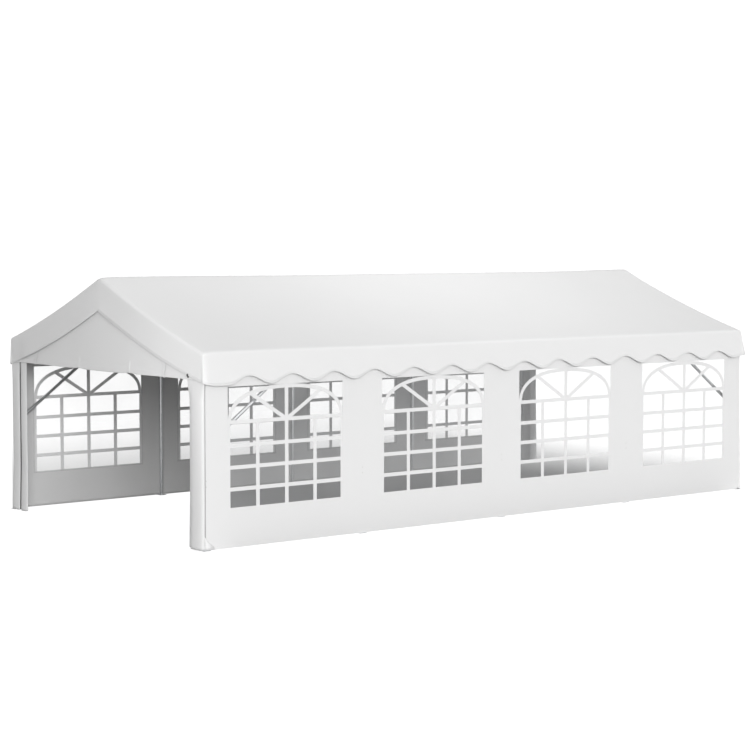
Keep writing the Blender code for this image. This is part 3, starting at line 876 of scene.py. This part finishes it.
def build_straps(end, name, webbing):
    """Narrow straps down a panel's front, round its foot and up behind it."""
    parts = []
    for place, slant in STRAPS:
        points = []
        for out, z in STRAP_PATH:
            lean = -slant * (STRAP_TOP - max(z, PANEL_FOOT))
            for offset in (-STRAP_WIDTH / 2.0, STRAP_WIDTH / 2.0):
                points.append((place + offset + lean, end * (PANEL_Y + STRAP_FRONT + out), z))
        parts.append((points, turned(grid_faces(len(STRAP_PATH), 2), end > 0.0)))
    straps = add_piece(f"panel_straps_{name}", "wall_fabric", *join_parts(parts), webbing,
                       thickness=STRAP_THICKNESS)
    smoothing = straps.modifiers.new("soften", "SUBSURF")
    smoothing.levels = 2
    smoothing.render_levels = 2
    return straps


def build_toggles(plastic):
    """A small black toggle on a gable panel's corner, one at each end."""
    x, y, z = TOGGLE_PLACE
    profile = [(along, share * TOGGLE_RADIUS) for along, share in TOGGLE_PROFILE]
    parts = [lathe(profile, (turn * x, turn * y, z), (turn * TOGGLE_LEAN, 0.0, -1.0), 16)
             for turn in (1.0, -1.0)]
    add_piece("toggles", "wall_fabric", *join_parts(parts), plastic, sharp=50.0)


# Corner curtains

def bulge_line(start, end, depth, count):
    """Points of a fold between two plan points that stands depth in front of their line."""
    points = []
    for angle in steps(0.0, math.pi, count)[1:-1]:
        share = (1.0 - math.cos(angle)) / 2.0
        points.append((mix(start[0], end[0], share),
                       mix(start[1], end[1], share) + depth * math.sin(angle)))
    return points


def curtain_path(shape, height):
    """Plan of a curtain at one height, from the side wall round the corner leg to its free edge.

    Coordinates are for the front right corner, as (x, distance to the front). The second value returned
    is the column where a dark strip of painted shade starts in the groove, if there is one.
    """
    shade_column = None
    full = fade(CURTAIN_FULL, CURTAIN_TUCK, height)
    lower = smooth(CURTAIN_LOWER, 0.0, height)
    deepening = full * mix(*FOLD_SHARES, lower)
    spread_out = shape.spread * fade(0.0, shape.spread_top, height)
    side_x = WALL_X - CURTAIN_INSET
    front_y = HALF_LENGTH + mix(*CURTAIN_FRONT, full)
    wander = CURTAIN_WANDER * wave(2.0 * height, shape.free_edge, 1.0)
    if shape.rounding > 0.0:
        radius = mix(TIGHT_ROUNDING, shape.rounding, full)
        start_y = front_y - radius - CURTAIN_LAP
        path = [(side_x - CURTAIN_LAP_INSET, start_y), (side_x - CURTAIN_LAP_INSET, start_y + 0.012)]
        for angle in steps(0.0, math.pi / 2.0, LEG_FOLD_STEPS):
            path.append((side_x - radius * (1.0 - math.cos(angle)) + LEG_SPREAD * spread_out,
                         front_y - radius * (1.0 - math.sin(angle)) + CREASE_SPREAD * spread_out))
    else:
        flap = FOOT_FLAP * fade(*FLAP_HEIGHTS, height)
        out = EDGE_SPREAD * spread_out
        notch = SEAM_DEPTH * smooth(*NOTCH_HEIGHTS, height)
        wall_end = WALL_END - WALL_SHORT
        path = [(side_x + 0.0015 + out - 1.2 * notch, wall_end - 0.004 - flap),
                (side_x + 0.001 + out - notch, wall_end + SEAM_WIDTH),
                (side_x - 0.001, wall_end + SEAM_WIDTH + 0.003)]
        path += [(side_x + x, front_y + y) for x, y in TIGHT_TURN]
    crease_y = front_y - 0.002 + CREASE_SPREAD * spread_out
    crease = (shape.crease + wander, crease_y)
    outer_depth = shape.outer_fold * deepening + FOLD_SPREAD * spread_out
    path += bulge_line(path[-1], crease, outer_depth, OUTER_FOLD_STEPS)
    path.append(crease)
    if shape.groove > 0.0:
        shade_column = len(path)
        depth = shape.groove * full
        for inward, share in ((0.0, 0.5), (0.0, 1.0), (GROOVE_WIDTH, 1.0), (GROOVE_WIDTH, 0.5)):
            path.append((crease[0] - inward + GROOVE_SLANT[0] * depth * share,
                         crease_y - GROOVE_SLANT[1] * depth * share))
        crease = (crease[0] - GROOVE_WIDTH, crease_y + 0.001)
        path.append(crease)
    free_y = front_y - 0.001 - shape.set_back * full + EDGE_SPREAD * spread_out
    free = (shape.free_edge - 0.010 * lower + 0.5 * wander, free_y)
    path += bulge_line(crease, free, shape.inner_fold * deepening, INNER_FOLD_STEPS)
    path.append(free)
    depth = mix(*EDGE_DEPTH, full)
    for share in steps(0.0, 1.0, 4)[1:]:
        path.append((free[0] + EDGE_RETURN * share,
                     min(front_y, free_y) - 0.003 - depth * math.sin(math.pi / 2.0 * share)))
    return path, shade_column


def build_curtain(shape, cloth, inside_painted_shade, groove_shade):
    """A door cloth drawn aside: a rounded fold over the corner leg, a crease and a second fold."""
    side, end, name = shape.side, shape.end, shape.name
    rows = lines_through([CLOTH_FOOT, CURTAIN_FULL, CURTAIN_TUCK, CURTAIN_TOP], CURTAIN_STEP)
    points = []
    for z in rows:
        path, shade_column = curtain_path(shape, z)
        width = len(path)
        swaying = CURTAIN_SWAY * fade(CURTAIN_FULL, CURTAIN_TUCK, z)
        foot_waving = CURTAIN_FOOT_WAVE * fade(CLOTH_FOOT, FOOT_WAVE_TOP, z)
        for number, (x, y) in enumerate(path):
            share = number / (width - 1)
            sway = swaying * smooth(*SWAY_FADE, share)
            sway *= wave(6.0 * share, 2.2 * z, 3.0 * side + 5.0 * end)
            foot_wave = foot_waving * math.sin(9.0 * share + side)
            points.append((side * x, end * (y + max(sway, -0.001)), z + max(foot_wave, 0.0)))
    faces = turned(grid_faces(len(rows), width), side * end > 0.0)
    curtain = add_piece(f"curtain_{name}", "wall_fabric", points, faces, cloth, inside_painted_shade, CLOTH)
    # The groove's faces get a dark strip: painted shade where the groove lies in shadow.
    if shade_column:
        curtain.data.materials.append(groove_shade)
        for row in range(len(rows) - 1):
            for number in range(shade_column, shade_column + GROOVE_SHADE_COLUMNS):
                curtain.data.polygons[row * (width - 1) + number].material_index = 2
    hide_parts(f"corner_curtain_{name}")
    flat_width = flat_length(curtain_path(shape, 1.0)[0])


# Steel details

def lathe(profile, place, axis, sides=20):
    """Points and faces of a turned part: profile is (distance along axis, radius) from end to end."""
    turn = Vector(axis).normalized().to_track_quat("Z", "Y")
    points = []
    for along, radius in profile:
        for count in range(sides):
            angle = 2.0 * math.pi * count / sides
            local = Vector((radius * math.cos(angle), radius * math.sin(angle), along))
            points.append(Vector(place) + turn @ local)
    caps = [tuple(reversed(range(sides))), tuple(range(len(points) - sides, len(points)))]
    return points, tube_faces(len(profile), sides) + caps


def bolt(place, axis, reach, radius):
    """A domed bolt through a tube, with a nut on its far end."""
    head = [(reach + past * radius, wide * radius) for past, wide in BOLT_HEAD]
    shank = [(-reach - SHANK_END * radius, radius), (reach, radius)]
    nut = [(-reach - NUT_LENGTH * radius, NUT_RADIUS * radius), (-reach, NUT_RADIUS * radius)]
    return [lathe(head, place, axis), lathe(shank, place, axis, 12), lathe(nut, place, axis, 6)]


def build_bolts(zinc):
    """Bolts at the couplings, the braces' ends and the portals' sockets."""
    parts = []
    brace_x = node_middle("brace_right_front").x
    for side in (-1.0, 1.0):
        inward = (-side, 0.0, 0.0)
        for number in range(BAYS + 1):
            y = -HALF_LENGTH + number * BAY
            for z in LEG_BOLTS:
                parts += bolt((side * HALF_SPAN, y, z), inward, LEG_BOLT_REACH, LEG_BOLT_RADIUS)
        for end in (-1.0, 1.0):
            foot = (side * brace_x, end * HALF_LENGTH, BRACE_LOW.z + BRACE_BOLTS[0])
            head = (side * brace_x, end * (HALF_LENGTH - BRACE_REACH), BRACE_HIGH.z - BRACE_BOLTS[1])
            for place in (foot, head):
                parts += bolt(place, inward, BRACE_BOLT_REACH, BRACE_BOLT_RADIUS)
    add_piece("frame_bolts", "steel", *join_parts(parts), zinc, sharp=35.0)


def finish_steel(steel):
    """Gives every steel node of the frame the galvanised finish."""
    names = ("leg_", "portal_", "ridge_purlin_", "eave_purlin_", "crossbar_", "brace_")
    for name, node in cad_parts.items():
        if name.startswith(names):
            node.data.materials.clear()
            node.data.materials.append(steel)


# Stage, light and camera

def seen_and_felt(tree, seen, felt, mirrored=False):
    """Joins a shader that the camera sees, and shiny pieces too if mirrored, with one that lights."""
    path = add_node(tree, "LightPath")
    share = path.outputs["Is Camera Ray"]
    if mirrored:
        share = calculate(tree, "MAXIMUM", share, path.outputs["Is Glossy Ray"])
    return blend(tree, share, felt, seen)


def blend(tree, share, first, second):
    joined = add_node(tree, "MixShader", Fac=share)
    tree.links.new(first, joined.inputs[1])
    tree.links.new(second, joined.inputs[2])
    return joined.outputs["Shader"]


SKY_LIGHT = 0.28
SKY_SEEN = 1.4
BOUNCE_WEAK = 0.38
BOUNCE_STRONG = 0.8
BOUNCE_BESIDE = (2.1, 2.8)
BOUNCE_PAST_END = (3.5, 4.05)
FLOOR_SHADED = 0.42
FLOOR_WHITE = 1.1
LEFT_SHADE = (-2.5, 11.0)
REAR_SHADE = (2.9, 7.2)
ACROSS_VIEW = (0.752, 0.659)  # towards the right of the picture at the rear corner
ACROSS_VIEW_LEFT = (0.466, 0.885)  # and at the left corner
DOOR_LIGHT_SLANT = (0.555, 0.832)
DOOR_LIGHT = (1.95, 2.45)
FLOOR_SIZE = 150.0
FLOOR_DROP = 0.0005
# Each distant light's name, turn from +X towards the front, height, strength and width. Angles are in
# degrees.
SUNS = (("low_key", 15.0, 15.0, 1.05, 25.0), ("low_fill", 30.0, 15.0, 1.0, 25.0),
        ("high_key", 0.0, 45.0, 0.35, 60.0), ("from_rear", -60.0, 30.0, 0.35, 60.0),
        ("top", 0.0, 90.0, 0.22, 60.0))
# Each soft box's name, place, aim, size and power
AREAS = (("over", (1.2, 0.5, 6.5), (1.0, 0.5, 2.0), 4.0, 60.0),
         ("doorway", (2.4, -7.0, 2.4), (1.0, -4.0, 1.9), 2.0, 18.7),
         ("gable", (2.0, -5.6, 2.0), (1.2, -4.0, 2.0), 1.5, 7.2))


def build_world():
    """A white sky that looks brighter than it lights."""
    world = bpy.data.worlds.new("studio")
    world.use_nodes = True
    tree = world.node_tree
    tree.nodes.clear()
    white = (1.0, 1.0, 1.0, 1.0)
    seen = add_node(tree, "Background", Color=white, Strength=SKY_SEEN).outputs["Background"]
    felt = add_node(tree, "Background", Color=white, Strength=SKY_LIGHT).outputs["Background"]
    add_node(tree, "OutputWorld", Surface=seen_and_felt(tree, seen, felt, mirrored=True))
    bpy.context.scene.world = world


def calculate(tree, operation, *values):
    """One math node on sockets or numbers."""
    node = add_node(tree, "Math")
    node.operation = operation
    for socket, value in zip(node.inputs, values):
        feed(tree, socket, value)
    return node.outputs["Value"]


def ramp(tree, source, start, end):
    """A smooth rise from 0 at start to 1 at end."""
    node = add_node(tree, "MapRange", Value=source, From_Min=start, From_Max=end)
    node.interpolation_type = "SMOOTHSTEP"
    return node.outputs["Result"]


def split_place(tree):
    """X and Y of a surface's place."""
    split = add_node(tree, "SeparateXYZ", Vector=object_place(tree))
    return split.outputs["X"], split.outputs["Y"]


def floor_brightness(tree):
    """Painted shade of the floor: 0 deep inside the tent and 1 well outside it. The painted shade
    reaches further at the left and rear, and a painted pool of light lies inside the doorway.
    """
    calc = partial(calculate, tree)
    x, y = split_place(tree)
    past_rear = calc("MAXIMUM", calc("SUBTRACT", y, HALF_LENGTH), 0.0)
    past_right = calc("MULTIPLY", calc("SUBTRACT", x, HALF_SPAN), ACROSS_VIEW[0])
    right = ramp(tree, calc("MULTIPLY_ADD", past_rear, ACROSS_VIEW[1], past_right), -0.04, 0.0)
    outward = calc("MULTIPLY", x, -1.0)
    outside_left = ramp(tree, outward, HALF_SPAN, HALF_SPAN + 0.1)
    left = calc("MULTIPLY", ramp(tree, outward, *LEFT_SHADE), outside_left)
    along, across = ACROSS_VIEW_LEFT
    past_front = calc("MULTIPLY_ADD", y, -across, -HALF_LENGTH * across)
    past_corner = calc("MULTIPLY_ADD", calc("SUBTRACT", outward, HALF_SPAN), along, past_front)
    corner = ramp(tree, past_corner, 0.0, 0.05)
    rear = ramp(tree, y, *REAR_SHADE)
    into_door = calc("MULTIPLY_ADD", x, -DOOR_LIGHT_SLANT[0], calc("MULTIPLY", y, -DOOR_LIGHT_SLANT[1]))
    door = calc("MULTIPLY", ramp(tree, into_door, *DOOR_LIGHT), calc("SUBTRACT", 1.0, outside_left))
    ends = calc("MAXIMUM", rear, calc("MAXIMUM", door, corner))
    return calc("MAXIMUM", calc("MAXIMUM", left, right), ends)


def floor_bounce(tree):
    """How strongly the floor lights the tent: more beside it, and most past its ends."""
    x, y = split_place(tree)
    beside = ramp(tree, calculate(tree, "ABSOLUTE", x), *BOUNCE_BESIDE)
    past_end = ramp(tree, calculate(tree, "ABSOLUTE", y), *BOUNCE_PAST_END)
    return spread(tree, calculate(tree, "MAXIMUM", beside, past_end), BOUNCE_WEAK, BOUNCE_STRONG)


def build_floor():
    """A wide pale floor, white around the tent, with painted shade under it and painted light in the
    doorway.
    """
    material = bpy.data.materials.new("pale_floor")
    material.use_nodes = True
    tree = material.node_tree
    tree.nodes.clear()
    bounce = add_node(tree, "BsdfDiffuse", Color=floor_bounce(tree)).outputs["BSDF"]
    grey = (FLOOR_SHADED, FLOOR_SHADED, FLOOR_SHADED, 1.0)
    shaded = add_node(tree, "BsdfDiffuse", Color=grey).outputs["BSDF"]
    white = add_node(tree, "Emission", Strength=FLOOR_WHITE).outputs["Emission"]
    seen = blend(tree, floor_brightness(tree), shaded, white)
    add_node(tree, "OutputMaterial", Surface=seen_and_felt(tree, seen, bounce))
    mesh = bpy.data.meshes.new("floor")
    corners = [(x * FLOOR_SIZE, y * FLOOR_SIZE, 0.0) for x, y in ((-1, -1), (1, -1), (1, 1), (-1, 1))]
    mesh.from_pydata(corners, [], [(0, 1, 2, 3)])
    mesh.materials.append(material)
    floor = new_object("floor", mesh)
    floor.location.z = -FLOOR_DROP


def add_light(name, kind, power, place, towards):
    light = bpy.data.lights.new(name, kind)
    light.energy = power
    obj = new_object(name, light)
    obj.visible_camera = False
    obj.location = place
    obj.rotation_euler = (Vector(place) - Vector(towards)).to_track_quat("Z", "Y").to_euler()
    return light


def build_lights():
    """Soft distant lights and soft boxes."""
    for name, turn, height, strength, width in SUNS:
        turn, height = math.radians(turn), math.radians(height)
        place = (math.cos(turn) * math.cos(height), -math.sin(turn) * math.cos(height), math.sin(height))
        light = add_light(name, "SUN", strength, place, (0.0, 0.0, 0.0))
        light.angle = math.radians(width)
    for name, place, towards, size, power in AREAS:
        light = add_light(name, "AREA", power, place, towards)
        light.shape = "DISK"
        light.size = size


def build_camera():
    camera = bpy.data.cameras.new("camera")
    camera.lens = CAMERA_LENS
    camera.clip_end = 400.0
    obj = new_object("camera", camera)
    obj.location = CAMERA_PLACE
    obj.rotation_euler = (CAMERA_TILT, 0.0, CAMERA_TURN)
    bpy.context.scene.camera = obj
    bpy.context.scene.view_settings.view_transform = "Standard"


def main():
    white = ((0.72, 0.72, 0.72), (0.70, 0.70, 0.70))
    roof_cloth = fabric_material("roof_fabric", *white, 0.55)
    wall_cloth = fabric_material("wall_fabric", *white, 0.6)
    # The inside of the cloth is a darker copy of the same white fabric: painted shade for the tent's
    # shaded inside.
    inside_painted_shade = fabric_material("cloth_inside_painted_shade", (0.60, 0.60, 0.60), (0.57, 0.57, 0.57), 0.7)
    film = film_material()
    zinc = plain_material("zinc_plated", (0.62, 0.62, 0.60), 0.35, metallic=1.0)
    black = plain_material("black_plastic", (0.03, 0.03, 0.03), 0.45)
    # A dark grey strip for a curtain's groove: painted shade.
    groove_shade = plain_material("groove_painted_shade", (0.22, 0.22, 0.22), 0.6)
    finish_steel(steel_material())
    build_cover(roof_cloth, inside_painted_shade)
    for side, name in ((1.0, "right"), (-1.0, "left")):
        build_side(side, name, wall_cloth, inside_painted_shade, film)
    for end, name in ((-1.0, "front"), (1.0, "rear")):
        build_panel(end, name, wall_cloth, inside_painted_shade)
    for shape in CURTAINS:
        build_curtain(shape, wall_cloth, inside_painted_shade, groove_shade)
    build_bolts(zinc)
    build_toggles(black)
    build_world()
    build_floor()
    build_lights()
    build_camera()


main()
